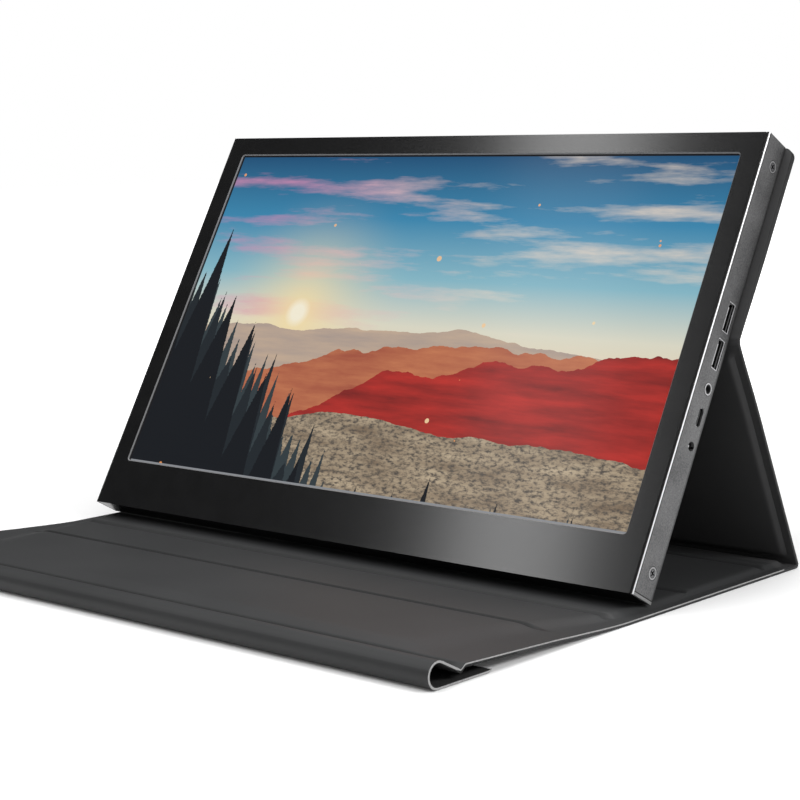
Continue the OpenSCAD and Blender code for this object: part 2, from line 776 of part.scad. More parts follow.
outer_boards = [[-leaf_outer_len + fold_half, -fold_half]];
module leaf_outer_skin() color("#2f2f31") on_leaf_outer()
    panel_skin(-leaf_outer_len, -fold_gap);
module leaf_outer_board() color("#7b6f5c") on_leaf_outer()
    panel_board(outer_boards[0][0], outer_boards[0][1]);
module leaf_outer_lining() color("#434345") on_leaf_outer()
    panel_lining(-leaf_outer_len, -fold_gap, outer_boards);

// ---------------------------------------------------------------- closing tab

curl_steps = 30;
function on_curl(r, a) = [curl_y + r * cos(a), curl_z + r * sin(a)];
function arc(r, a0, a1) = [for (i = [0 : curl_steps]) on_curl(r, a0 + (a1 - a0) * i / curl_steps)];

tab_fold_in = [tab_y, tab_z] - tab_t * [cos(curl_start), sin(curl_start)];
tab_start = fold_gap * [-sin(curl_start), cos(curl_start)];

module tab_root() color("#38383a") stand() along_x(cover_w)
    polygon(concat([[tab_y, tab_z] + tab_start],
        arc(curl_out, curl_start, curl_split),
        arc(curl_in, curl_split, curl_start),
        [tab_fold_in + tab_start]));

module tab_end() color("#38383a") stand()
    difference() {
        along_x(cover_w)
            polygon(concat(arc(curl_out, curl_split + split_gap, curl_end),
                [[tab_y + tab_under, 0], [tab_y + tab_under, tab_t]],
                arc(curl_in, curl_end, curl_split + split_gap)));
        tab_magnet_spaces();
    }

module tab_magnet_spaces()
    for (x = magnet_x) translate([x, tab_y + tab_magnet_y, tab_t / 2])
        cylinder(d = tab_magnet_d, h = tab_magnet_t + 2 * eps, center = true);

module tab_magnets() color("#9b9ea2") stand()
    for (x = magnet_x) translate([x, tab_y + tab_magnet_y, tab_t / 2])
        cylinder(d = tab_magnet_d, h = tab_magnet_t, center = true);

// ---------------------------------------------------------------- nodes

front_housing();
right_side_plate();
left_side_plate();
rear_plate();
corner_blocks();
side_screws();
rear_screws();
panel_tape();
lcd_glass();
diffuser_sheet();
light_guide();
reflector_sheet();
led_strip();
panel_tray();
panel_driver_board();
main_board();
board_chips();
board_standoffs();
board_screws();
hdmi_ports();
audio_jack();
usb_c_port();
dc_jack();
panel_cable();
speakers();
key_board();
key_switches();
power_button();
menu_button();
plus_button();
minus_button();
source_button();
back_panel_skin();
back_panel_board();
back_panel_adhesive();
display_magnets();
upper_crease();
flap_skin();
flap_board();
flap_lining();
rear_crease();
spine_skin();
spine_board();
spine_lining();
base_skin();
base_rear_board();
base_front_board();
base_lining();
leaf_inner_skin();
leaf_inner_board();
leaf_inner_lining();
leaf_outer_skin();
leaf_outer_board();
leaf_outer_lining();
tab_root();
tab_end();
tab_magnets();
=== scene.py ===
"""Looks of the portable monitor in its folding cover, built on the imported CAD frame.

Metres; +X to the right of the screen, +Y away from the viewer, +Z up, the table is Z = 0.
The part's own lengths are written here in millimetres, and MM turns them into metres.
"""
import json
import math
from collections import namedtuple

import bmesh
import bpy
from mathutils import Matrix, Vector


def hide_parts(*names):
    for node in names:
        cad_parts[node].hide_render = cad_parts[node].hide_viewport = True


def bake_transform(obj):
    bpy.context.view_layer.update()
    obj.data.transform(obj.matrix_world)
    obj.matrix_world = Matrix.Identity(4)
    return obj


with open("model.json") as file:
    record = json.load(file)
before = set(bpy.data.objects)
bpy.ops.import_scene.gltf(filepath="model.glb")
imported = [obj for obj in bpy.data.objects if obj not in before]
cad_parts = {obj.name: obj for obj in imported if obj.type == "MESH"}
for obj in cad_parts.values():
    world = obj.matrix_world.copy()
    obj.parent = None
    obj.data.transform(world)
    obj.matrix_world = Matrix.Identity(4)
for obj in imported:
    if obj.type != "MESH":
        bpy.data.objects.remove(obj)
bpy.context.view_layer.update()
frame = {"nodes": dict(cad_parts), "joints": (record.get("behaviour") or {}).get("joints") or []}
NODES = frame["nodes"]
MM = 0.001

# ------------------------------------------------------------------ places, in millimetres

joint_at = {j["name"]: j.get("pos_m") for j in frame["joints"]}


def fold(name):
    """Where a fold's axis crosses the middle plane, as (y, z)."""
    _, y, z = joint_at[name]
    return y / MM, z / MM


COVER_HALF = 190.0  # half the cover's width
COVER_T = 3.6  # the cover over its boards
RIM_T = 1.6  # the cover at its rim and in its folds
TILT = math.radians(29.4)
DISP_W, DISP_H, DISP_T = 371.0, 232.0, 16.0
SIDE_X = DISP_W / 2  # outer face of the right side plate
SEAT_Z = 3.8  # height of the display's lower back edge
WINDOW_W, WINDOW_H, CHIN_H = 344.6, 193.8, 26.8
CREASE_H, CREASE_D = 131.0, 3.5  # the upper fold's axis, up the display and behind its back
UPPER_INSET = 0.3  # the upper fold's axis, inside the flap's outer face
BACK_T, ADHESIVE_T, BACK_R = 3.4, 0.4, 5.0  # the back panel and its corners
GROOVE_RUN = 65.0  # from the spine's fold forward to the third groove across the base
REAR = fold("stand_lean_fold")
UPPER = fold("upper_lean_fold")
SPINE = fold("cover_wrap_fold")
FOLD_A = fold("inner_leaf_fold")
FOLD_B = fold("outer_leaf_fold")
GROOVE_Y = SPINE[0] - GROOVE_RUN
TAB = fold("tab_fold")
# how far back the display's lower back edge is
SEAT_Y = UPPER[0] - CREASE_H * math.sin(TILT) - CREASE_D * math.cos(TILT)
FRONT = (0, -math.cos(TILT), math.sin(TILT))
UPWARD = (0, math.sin(TILT), math.cos(TILT))


def on_display(h, d):
    """(y, z) of a point h up the display and d behind its back."""
    return (SEAT_Y + h * math.sin(TILT) + d * math.cos(TILT),
            SEAT_Z + h * math.cos(TILT) - d * math.sin(TILT))


# Sockets and side screws, up the display and forward of its back
JACK_H, POWER_H, SOCKET_D = 103.4, 74.9, 4.9
SCREW_HEIGHTS, SCREW_D = (13.1, 218.5), 5.6
JACK_AXIS = on_display(JACK_H, -SOCKET_D)
POWER_AXIS = on_display(POWER_H, -SOCKET_D)
SCREW_AXES = [on_display(h, -SCREW_D) for h in SCREW_HEIGHTS]


def smooth(a, b, t):
    """Smooth step of t from a to b."""
    u = min(1.0, max(0.0, (t - a) / (b - a)))
    return u * u * (3 - 2 * u)


# ------------------------------------------------------------------ shader nodes


def node(nt, kind, **settings):
    """A new shader node with some of its properties set."""
    n = nt.nodes.new(kind)
    for key, value in settings.items():
        setattr(n, key, value)
    return n


def link(nt, a, b):
    nt.links.new(a, b)


def feed(nt, sock, value):
    """Give an input a number, a plain vector or colour, or another node's output."""
    if isinstance(value, (int, float)):
        sock.default_value = value
    elif isinstance(value, (tuple, Vector)):
        alpha = (1.0,) if sock.type == "RGBA" else ()
        sock.default_value = (*value, *alpha)
    else:
        link(nt, value, sock)


def math_node(nt, op, a, b=None, c=None, clamp=False):
    n = node(nt, "ShaderNodeMath", operation=op, use_clamp=clamp)
    for sock, value in zip(n.inputs, (a, b, c)):
        if value is not None:
            feed(nt, sock, value)
    return n.outputs[0]


def scaled(nt, value, by, plus, clamp=False):
    """value * by + plus."""
    return math_node(nt, "MULTIPLY_ADD", value, by, plus, clamp)


def product(nt, a, b):
    return math_node(nt, "MULTIPLY", a, b)


def more(nt, value, than):
    """1 where a value is more than another, else 0."""
    return math_node(nt, "GREATER_THAN", value, than)


def less(nt, value, than):
    """1 where a value is less than another, else 0."""
    return math_node(nt, "LESS_THAN", value, than)


def within(nt, value, low, high):
    """1 where a value is from low to high, else 0."""
    return product(nt, more(nt, value, low), less(nt, value, high))


def taken_together(nt, op, first, *others):
    """One value from several, by the same operation again and again."""
    for value in others:
        first = math_node(nt, op, first, value)
    return first


def most(nt, *values):
    """The largest of some values, so 1 where any of some masks is 1."""
    return taken_together(nt, "MAXIMUM", *values)


def vector_math(nt, op, a, b=None, out="Value"):
    n = node(nt, "ShaderNodeVectorMath", operation=op)
    feed(nt, n.inputs[0], a)
    if b is not None:
        feed(nt, n.inputs[1], b)
    return n.outputs[out]


def mix(nt, fac, a, b):
    """Colour a where fac is 0, b where it is 1."""
    n = node(nt, "ShaderNodeMix", data_type="RGBA")
    for sock, value in ((n.inputs[0], fac), (n.inputs[6], a), (n.inputs[7], b)):
        feed(nt, sock, value)
    return n.outputs[2]


def place(nt):
    """Where a point is in the part's frame at rest, in metres."""
    return node(nt, "ShaderNodeTexCoord").outputs["Object"]


def mapped(nt, vector, **inputs):
    """A vector after a Mapping node with these inputs."""
    n = node(nt, "ShaderNodeMapping")
    for key, value in inputs.items():
        n.inputs[key].default_value = value
    link(nt, vector, n.inputs["Vector"])
    return n.outputs["Vector"]


def noise(nt, vector, scale, detail, rough):
    n = node(nt, "ShaderNodeTexNoise")
    n.inputs["Scale"].default_value = scale
    n.inputs["Detail"].default_value = detail
    n.inputs["Roughness"].default_value = rough
    link(nt, vector, n.inputs["Vector"])
    return n.outputs["Fac"]


def ramp(nt, fac, stops):
    """A colour ramp through (position, colour) stops."""
    n = node(nt, "ShaderNodeValToRGB")
    elements = n.color_ramp.elements
    while len(elements) < len(stops):
        elements.new(0.5)
    for element, (position, colour) in zip(elements, stops):
        element.position = position
        element.color = (*colour, 1.0)
    link(nt, fac, n.inputs["Fac"])
    return n.outputs["Color"]


def bump(nt, bsdf, height, strength, distance):
    n = node(nt, "ShaderNodeBump")
    n.inputs["Strength"].default_value = strength
    n.inputs["Distance"].default_value = distance
    link(nt, height, n.inputs["Height"])
    link(nt, n.outputs["Normal"], bsdf.inputs["Normal"])


def facing(nt, direction):
    """How far a face's own normal points along direction, in the part's frame."""
    normal = node(nt, "ShaderNodeTexCoord").outputs["Normal"]
    return vector_math(nt, "DOT_PRODUCT", normal, Vector(direction).normalized())


def off_middle(nt):
    """Distance of a point from the middle plane, in metres."""
    sep = node(nt, "ShaderNodeSeparateXYZ")
    link(nt, place(nt), sep.inputs[0])
    return math_node(nt, "ABSOLUTE", sep.outputs["X"])


def near_side(nt, depth):
    """1 less than depth mm in from the side plates' outer faces, else 0."""
    return more(nt, off_middle(nt), (SIDE_X - depth) * MM)


def measure(nt, direction):
    """Distance of a point from the display's lower back edge along direction, in mm."""
    along = vector_math(nt, "DOT_PRODUCT", place(nt), Vector(direction) / MM)
    start = Vector(direction).dot(Vector((0, SEAT_Y, SEAT_Z)))
    return math_node(nt, "SUBTRACT", along, start)


def radius_about(nt, *axes):
    """Distance in mm from the nearest of some axes along X, each at (y, z)."""
    radii = []
    for y, z in axes:
        off = vector_math(nt, "SUBTRACT", place(nt), (0, y * MM, z * MM), "Vector")
        flat = vector_math(nt, "MULTIPLY", off, (0, 1 / MM, 1 / MM), "Vector")
        radii.append(vector_math(nt, "LENGTH", flat))
    return taken_together(nt, "MINIMUM", *radii)


# ------------------------------------------------------------------ materials


def grey(value, tint=0.0):
    """A grey, a touch bluer by tint."""
    return value, value, value + tint


BLACK = grey(0.004)
DARK = grey(0.012)


def new_material(name):
    m = bpy.data.materials.new(name)
    m.use_nodes = True
    nt = m.node_tree
    return m, nt, shader_of(nt)


def shader_of(nt):
    return next(n for n in nt.nodes if n.type == "BSDF_PRINCIPLED")


def grained(name, dark, light, rough, grain, strength, distance, metallic=0.0,
            stretch=(1, 1, 1), coat=0.0):
    """A surface of two near colours in fine grain, with matching bump and roughness.

    rough: the mean roughness; grain: the noise's scale; strength, distance: the bump's,
    with its distance in metres; stretch: the noise's scale along X, Y and Z.
    """
    spread = 0.08
    m, nt, bsdf = new_material(name)
    v = mapped(nt, place(nt), Scale=stretch)
    fine = noise(nt, v, grain, 3.0, 0.6)
    broad = noise(nt, v, grain * 0.03, 2.0, 0.5)
    fac = math_node(nt, "ADD", product(nt, fine, 0.65), product(nt, broad, 0.35))
    link(nt, ramp(nt, fac, [(0.35, dark), (0.65, light)]), bsdf.inputs["Base Color"])
    link(nt, scaled(nt, fine, spread, rough - spread / 2), bsdf.inputs["Roughness"])
    bsdf.inputs["Metallic"].default_value = metallic
    bsdf.inputs["Coat Weight"].default_value = coat
    bump(nt, bsdf, fine, strength, distance)
    return m


def leatherette(name, dark, light, rough, crease_shaded=False):
    """Smooth coated leatherette: a very fine pebble with a soft sheen.

    The flag paints shade into the colour: darker where the mesh's per-point shade value is below
    1, along the folds and under the tab's curl.
    """
    spread = 0.16
    m, nt, bsdf = new_material(name)
    v = place(nt)
    cells = node(nt, "ShaderNodeTexVoronoi", feature="SMOOTH_F1")
    cells.inputs["Scale"].default_value = 1500.0
    link(nt, v, cells.inputs["Vector"])
    broad = noise(nt, v, 9.0, 3.0, 0.5)
    fine = noise(nt, v, 2600.0, 2.0, 0.6)
    tone = ramp(nt, broad, [(0.3, dark), (0.7, light)])
    if crease_shaded:
        # painted shade: a per-point value darkens the lining towards black
        worn = node(nt, "ShaderNodeAttribute", attribute_name="painted_shade")
        tone = mix(nt, worn.outputs["Fac"], BLACK, tone)
    link(nt, tone, bsdf.inputs["Base Color"])
    link(nt, scaled(nt, fine, spread, rough - spread / 2), bsdf.inputs["Roughness"])
    pebble = math_node(nt, "ADD", product(nt, cells.outputs["Distance"], 0.6),
                       product(nt, fine, 0.4))
    bump(nt, bsdf, pebble, 0.25, 0.0001)
    bsdf.inputs["Specular IOR Level"].default_value = 0.35
    return m


MAT = {
    "bezel": grained("bezel_anodised", (0.004, 0.004, 0.0042), (0.009, 0.009, 0.0095), 0.15,
                     2600, 0.08, 0.00002),
    "plate": grained("side_plate_blasted", grey(0.08, 0.002), grey(0.22, 0.002), 0.45, 1500,
                     0.5, 0.00005, metallic=0.55),
    "rear": grained("rear_plate_black", grey(0.012, 0.001), grey(0.02, 0.001), 0.5, 2000, 0.3,
                    0.00005, metallic=0.3),
    "steel": grained("plated_steel", grey(0.35, 0.01), grey(0.6, 0.01), 0.32, 700, 0.1,
                     0.00003, metallic=1.0),
    "bright": grained("bright_satin", grey(0.62, 0.01), grey(0.82, 0.01), 0.38, 700, 0.1,
                      0.00003, metallic=0.45),
    "dark_steel": grained("blackened_steel", grey(0.03), grey(0.07), 0.4, 700, 0.1, 0.00003,
                          metallic=0.8),
    "alu": grained("plain_aluminium", grey(0.45, 0.01), grey(0.6, 0.01), 0.4, 500, 0.1,
                   0.00003, metallic=1.0, stretch=(1, 1, 0.2)),
    "brass": grained("turned_brass", (0.45, 0.30, 0.10), (0.6, 0.42, 0.16), 0.35, 800, 0.1,
                     0.00003, metallic=1.0),
    "plastic": grained("moulded_black", grey(0.014, 0.001), grey(0.03, 0.001), 0.45, 1500,
                       0.2, 0.00004),
    "button": grained("button_black", grey(0.02, 0.001), grey(0.035, 0.001), 0.4, 1500, 0.15,
                      0.00003),
    "board": grained("circuit_board", (0.01, 0.07, 0.03), (0.02, 0.13, 0.05), 0.4, 350, 0.2,
                     0.00005, coat=0.3),
    "film": grained("white_film", (0.75, 0.75, 0.73), (0.85, 0.85, 0.83), 0.5, 300, 0.05,
                    0.00002),
    "guide": grained("clear_acrylic", (0.7, 0.76, 0.8), (0.8, 0.85, 0.88), 0.15, 120, 0.02,
                     0.00002),
    "led": grained("light_strip", (0.75, 0.65, 0.3), (0.9, 0.85, 0.5), 0.4, 300, 0.1, 0.00003),
    "amber": grained("printed_film", (0.35, 0.18, 0.04), (0.5, 0.28, 0.08), 0.35, 240, 0.1,
                     0.00003),
    "tape": grained("foam_tape", grey(0.008), grey(0.02), 0.8, 1200, 0.3, 0.00008),
    "lining": leatherette("cover_lining", (0.036, 0.037, 0.038), (0.046, 0.047, 0.048), 0.5,
                          crease_shaded=True),
    # the cover's lining again, lighter for the light on the flap: painted light
    "flap_lit_lining": leatherette("flap_lining", grey(0.048, 0.001), grey(0.060, 0.001), 0.65),
    "flap_edge": leatherette("cover_edge", grey(0.009, 0.0005), grey(0.014, 0.0005), 0.6),
    "outer": leatherette("cover_outer", grey(0.018, 0.001), grey(0.026, 0.001), 0.5),
    "suede": grained("tab_microfibre", grey(0.006), grey(0.03), 0.95, 900, 0.9, 0.0005),
    "cut": grained("cut_edge", grey(0.30), grey(0.48), 0.6, 900, 0.3, 0.0001),
}


def dress(material, *names):
    for n in names:
        materials = NODES[n].data.materials
        materials.clear()
        materials.append(material)


dress(MAT["rear"], "rear_plate")
dress(MAT["alu"], "corner_blocks", "panel_tray")
dress(MAT["steel"], "board_screws", "key_switches", "display_magnets", "tab_magnets")
dress(MAT["dark_steel"], "rear_screws")
dress(MAT["brass"], "board_standoffs")
dress(MAT["plastic"], "board_chips", "speakers")
dress(MAT["button"], "power_button", "menu_button", "plus_button", "minus_button",
      "source_button")
dress(MAT["board"], "panel_driver_board", "main_board", "key_board")
dress(MAT["film"], "diffuser_sheet", "reflector_sheet")
dress(MAT["guide"], "light_guide")
dress(MAT["led"], "led_strip")
dress(MAT["amber"], "panel_cable")
dress(MAT["tape"], "panel_tape", "back_panel_adhesive")

# ------------------------------------------------------------------ parts with line work


def variant(base, name):
    """A copy of a material, with its tree, its shader and the socket that colours it."""
    m = MAT[base].copy()
    m.name = name
    nt = m.node_tree
    bsdf = shader_of(nt)
    return m, nt, bsdf, bsdf.inputs["Base Color"].links[0].from_socket


SQUARE_ON = 0.97  # a face counts as facing a way when it points this much along it


def shift_roughness(nt, bsdf, mask, by):
    """Make a surface rougher by some amount where the mask is 1."""
    sock = bsdf.inputs["Roughness"]
    link(nt, scaled(nt, mask, by, sock.links[0].from_socket), sock)


def plate_material(name, side):
    """Blasted side plate: bright cut front edge, dark joint beside it, lip at the foot."""
    lip = 1.35
    m, nt, bsdf, col = variant("plate", name)
    h = measure(nt, UPWARD)
    forward = measure(nt, FRONT)
    # the back edge lies in the cover's shade, which ends 1.5 mm forward of it
    back = scaled(nt, forward, -0.8, 1.2, clamp=True)
    col = mix(nt, product(nt, back, 0.75), col, grey(0.02))
    joint = within(nt, forward, DISP_T - 1.3, DISP_T - 0.72)
    sink = within(nt, radius_about(nt, *SCREW_AXES), 2.9, 3.25)
    groove = within(nt, h, lip, lip + 0.55)
    col = mix(nt, most(nt, joint, sink, groove), col, DARK)
    col = mix(nt, less(nt, h, lip), col, grey(0.26))
    cut = more(nt, facing(nt, (side, FRONT[1], FRONT[2])), SQUARE_ON)
    line = mix(nt, near_side(nt, 0.45), BLACK, grey(0.68, 0.01))
    col = mix(nt, cut, col, line)
    col = mix(nt, more(nt, facing(nt, FRONT), SQUARE_ON), col, BLACK)
    link(nt, col, bsdf.inputs["Base Color"])
    shift_roughness(nt, bsdf, cut, -0.1)
    return m


def bezel_material():
    """Dark anodised bezel with a paler chamfer round the window."""
    margin = 1.5
    m, nt, bsdf, col = variant("bezel", "bezel_chamfered")
    beside = less(nt, off_middle(nt), (WINDOW_W / 2 + margin) * MM)
    inside = product(nt, within(nt, measure(nt, UPWARD), CHIN_H - margin,
                                CHIN_H + WINDOW_H + margin), beside)
    wall = less(nt, facing(nt, FRONT), 0.3)
    col = mix(nt, product(nt, wall, inside), col, grey(0.035, 0.001))
    chamfer = product(nt, within(nt, facing(nt, FRONT), 0.5, 0.9), inside)
    col = mix(nt, chamfer, col, grey(0.20, 0.005))
    link(nt, col, bsdf.inputs["Base Color"])
    shift_roughness(nt, bsdf, chamfer, 0.2)
    return m


def socket_material(name, tongue, rim):
    """Shell rim, bright tongue, and painted shade inside.

    tongue: half its thickness in mm; rim: how much of the shell's tone its rim keeps, 0 to 1,
    the rest painted shade.
    """
    m, nt, bsdf, col = variant("bright", name)
    middle = within(nt, measure(nt, FRONT), SOCKET_D - tongue, SOCKET_D + tongue)
    blade = product(nt, middle, near_side(nt, 2.2))
    lip = within(nt, off_middle(nt), (SIDE_X - 1.9) * MM, (SIDE_X - 1.4) * MM)
    edge = near_side(nt, 0.5)
    keep = most(nt, product(nt, lip, 0.5), blade, product(nt, edge, rim))
    # all but the rim, lip and tongue is painted dark as shade
    link(nt, mix(nt, keep, DARK, col), bsdf.inputs["Base Color"])
    return m


def round_socket_material(name, axis, rings, bore, pin=None):
    """Moulded socket with bands of colour round its axis, and painted shade in its bore.

    rings: (radius, colour) from the middle out; bore: how far in the painted shade starts; pin:
    the radius of a bright pin in the bore. All in mm.
    """
    m, nt, bsdf, col = variant("plastic", name)
    r = radius_about(nt, axis)
    for radius, colour in rings:
        col = mix(nt, more(nt, r, radius), col, colour)
    # painted shade deeper in the bore
    col = mix(nt, near_side(nt, bore), grey(0.008), col)
    if pin:
        col = mix(nt, less(nt, r, pin), col, grey(0.75, 0.01))
    link(nt, col, bsdf.inputs["Base Color"])
    return m


def screw_material():
    """Grey head with a bright outer ring, and painted shade in its recess."""
    m, nt, bsdf, _ = variant("bright", "screw_head")
    r = radius_about(nt, *SCREW_AXES)
    col = mix(nt, less(nt, r, 2.15), grey(0.36, 0.005), grey(0.16, 0.005))
    col = mix(nt, within(nt, r, 1.85, 2.2), col, grey(0.02))
    # painted shade: deeper than the head's face the recess goes near black
    col = mix(nt, near_side(nt, 0.35), grey(0.008), col)
    link(nt, col, bsdf.inputs["Base Color"])
    return m


dress(plate_material("right_plate_edge", 1), "right_side_plate")
dress(plate_material("left_plate_edge", -1), "left_side_plate")
dress(bezel_material(), "front_housing")
dress(socket_material("video_socket", tongue=0.62, rim=1.0), "hdmi_ports")
dress(socket_material("usb_socket", tongue=0.37, rim=0.05), "usb_c_port")
# the audio jack's pale ring is a painted highlight on the edge of its mouth
dress(round_socket_material("audio_jack_ringed", JACK_AXIS,
                            [(2.3, grey(0.60, 0.01)), (2.85, grey(0.05))], bore=1.6),
      "audio_jack")
dress(round_socket_material("dc_jack_ringed", POWER_AXIS,
                            [(1.9, grey(0.30)), (2.3, grey(0.05))], bore=1.5, pin=0.66),
      "dc_jack")
dress(screw_material(), "side_screws")

# ------------------------------------------------------------------ picture on the screen


def wavy(nt, uv, scale, seed, detail, rough):
    """Noise over the picture, with its scale across and up."""
    v = mapped(nt, uv, Scale=(*scale, 1), Location=(seed, seed * 0.7, seed * 1.3))
    return noise(nt, v, 1.0, detail, rough)


def sky(nt, u, v, uv):
    """Deep blue down to a cream horizon, with streaks of cloud and a low sun."""
    out = ramp(nt, v, [(0.34, (0.88, 0.70, 0.46)), (0.48, (0.78, 0.76, 0.62)),
                       (0.62, (0.26, 0.52, 0.62)), (0.80, (0.045, 0.26, 0.46)),
                       (1.0, (0.012, 0.085, 0.20))])
    cloud = scaled(nt, wavy(nt, uv, (3.2, 13.0), 4.1, 6.0, 0.6), 5.0, -2.55, clamp=True)
    left = scaled(nt, u, -2.2, 1.35, clamp=True)
    tint = mix(nt, left, (0.86, 0.74, 0.62), (0.72, 0.30, 0.50))
    out = mix(nt, product(nt, cloud, 0.8), out, tint)
    even = mapped(nt, uv, Scale=(WINDOW_W / WINDOW_H, 1, 1))
    from_sun = vector_math(nt, "DISTANCE", even, (0.46, 0.50, 0))
    glow = math_node(nt, "POWER", scaled(nt, from_sun, -2.4, 1.0, clamp=True), 2.0)
    out = mix(nt, glow, out, (1.0, 0.80, 0.42))
    disc = scaled(nt, from_sun, -40.0, 1.9, clamp=True)
    return mix(nt, disc, out, (1.0, 0.93, 0.74))


def add_ridge(nt, u, v, uv, out, ridge):
    """A ridge in front of what is there. The last, which falls to the right, has scrub.

    ridge: height, roughness of its line, rise to the right, scale, seed, two colours.
    """
    low, rise, lean, scale, seed, dark, light = ridge
    line = scaled(nt, wavy(nt, uv, (scale, 0.0), seed, 7.0, 0.5), rise * 2,
                  low - rise - lean / 2)
    line = scaled(nt, u, lean, line)
    strata = wavy(nt, uv, (scale * 2.5, 26.0), seed + 3, 5.0, 0.6)
    tone = mix(nt, scaled(nt, strata, 2.4, -0.7, clamp=True), dark, light)
    if lean < 0:
        scrub = wavy(nt, uv, (90.0, 110.0), seed, 3.0, 0.7)
        tone = mix(nt, scaled(nt, scrub, 5.0, -2.2, clamp=True), tone, (0.10, 0.085, 0.07))
    return mix(nt, more(nt, line, v), out, tone)


def add_trees(nt, u, v, uv, out, layer):
    """A layer of pointed trees that falls away from the left.

    layer: trees across the picture, ground at the right, its rise to the left, height of
    the tallest, seed, colour.
    """
    count, low, rise, tallest, seed, tone = layer
    along = scaled(nt, u, count, seed)
    side = math_node(nt, "ABSOLUTE", math_node(
        nt, "SUBTRACT", math_node(nt, "FRACT", along), 0.5))
    tall = node(nt, "ShaderNodeTexWhiteNoise", noise_dimensions="1D")
    link(nt, math_node(nt, "FLOOR", along), tall.inputs["W"])
    peak = product(nt, scaled(nt, side, -2.0, 1.0),
                   scaled(nt, tall.outputs["Value"], tallest, tallest * 0.4))
    near = scaled(nt, u, -2.0, 1.0, clamp=True)
    ground = scaled(nt, wavy(nt, uv, (5.0, 0.0), seed, 5.0, 0.6), 0.10,
                    scaled(nt, near, rise, low))
    twigs = scaled(nt, wavy(nt, uv, (170.0, 150.0), seed, 2.0, 0.5), 0.05, -0.025)
    top = math_node(nt, "ADD", math_node(nt, "ADD", ground, peak), twigs)
    return mix(nt, more(nt, top, v), out, tone)


def add_leaves(nt, uv, out):
    """A few warm leaves adrift."""
    cell = node(nt, "ShaderNodeTexVoronoi")
    cell.inputs["Scale"].default_value = 1.0
    link(nt, mapped(nt, uv, Scale=(30, 17, 1), Rotation=(0, 0, 0.5)), cell.inputs["Vector"])
    pick = node(nt, "ShaderNodeSeparateColor")
    link(nt, cell.outputs["Color"], pick.inputs[0])
    size = product(nt, math_node(nt, "SUBTRACT", pick.outputs[0], 0.66), 0.42)
    leaf = less(nt, cell.outputs["Distance"], size)
    tone = mix(nt, pick.outputs[1], (0.95, 0.30, 0.06), (1.0, 0.78, 0.45))
    return mix(nt, product(nt, leaf, 0.85), out, tone)


RIDGES = (
    (0.45, 0.16, 0.00, 2.2, 1.7, (0.42, 0.34, 0.30), (0.62, 0.46, 0.33)),
    (0.36, 0.20, 0.16, 3.1, 5.3, (0.40, 0.10, 0.055), (0.62, 0.22, 0.10)),
    (0.27, 0.30, 0.34, 2.4, 9.2, (0.20, 0.018, 0.014), (0.55, 0.035, 0.025)),
    (0.20, 0.10, -0.04, 3.6, 13.9, (0.22, 0.16, 0.105), (0.56, 0.45, 0.31)),
)
TREES = (
    (52, -0.18, 0.62, 0.12, 3.7, (0.035, 0.050, 0.056)),
    (30, -0.28, 0.66, 0.20, 8.1, (0.014, 0.020, 0.024)),
    (15, -0.44, 0.76, 0.34, 5.9, (0.005, 0.007, 0.009)),
)


def picture_material():
    """A generic dusk landscape, from formulas in u across and v up the picture."""
    m, nt, bsdf = new_material("screen_picture")
    sep = node(nt, "ShaderNodeSeparateXYZ")
    link(nt, place(nt), sep.inputs[0])
    u = scaled(nt, sep.outputs["X"], 1 / (WINDOW_W * MM), 0.5)
    v = scaled(nt, measure(nt, UPWARD), 1 / WINDOW_H, -CHIN_H / WINDOW_H)
    both = node(nt, "ShaderNodeCombineXYZ")
    link(nt, u, both.inputs[0])
    link(nt, v, both.inputs[1])
    uv = both.outputs[0]
    out = sky(nt, u, v, uv)
    for ridge in RIDGES:
        out = add_ridge(nt, u, v, uv, out, ridge)
    for layer in TREES:
        out = add_trees(nt, u, v, uv, out, layer)
    out = add_leaves(nt, uv, out)
    # the panel's edge: painted highlight at the right and below, painted shadow at the left and
    # above
    pale = most(nt, more(nt, u, 1 - 0.6 / WINDOW_W), less(nt, v, 1.1 / WINDOW_H))
    shade = most(nt, less(nt, u, 0.5 / WINDOW_W), more(nt, v, 1 - 0.6 / WINDOW_H))
    out = mix(nt, pale, out, (0.28, 0.29, 0.31))
    out = mix(nt, shade, out, grey(0.012, 0.001))
    link(nt, out, bsdf.inputs["Emission Color"])
    bsdf.inputs["Emission Strength"].default_value = 0.86
    bsdf.inputs["Base Color"].default_value = (0.01, 0.01, 0.012, 1)
    bsdf.inputs["Roughness"].default_value = 0.12
    bsdf.inputs["Specular IOR Level"].default_value = 0.04
    return m


dress(picture_material(), "lcd_glass")

# ------------------------------------------------------------------ cover: its strips


def columns():
    """Places across the cover, close together near its sides."""
    half = [0, 30, 60, 90, 115, 135, 148, 156, 161, 165, 168, 171, 174, 177, 179.5, 181.5, 183,
            184.5, 186, 187.5, 189, COVER_HALF]
    return [-x for x in half[:0:-1]] + half


def unshaded(x):
    return 1.0


# A line of the cover across its width: (y, z) of its under side, its normal to the lining
# side, its thickness as a function of x, its half width, and its painted shade as a function
# of x, which is 1 where the lining has none
Row = namedtuple("Row", "under normal thick half worn", defaults=(COVER_HALF, unshaded))
COLS = columns()
SHARP_ANGLE = math.radians(38)
LINING_SLOT, OUTER_SLOT, CUT_SLOT = range(3)


def pale_from(t):
    """The share of a thickness at which the pale cut edge starts, thinner sheets earlier."""
    return 1 - (0.6 + 0.35 * (1 - smooth(1.2, 1.5, t))) / t


def step(p, direction, length):
    """The point some length from p."""
    return p[0] + direction[0] * length, p[1] + direction[1] * length


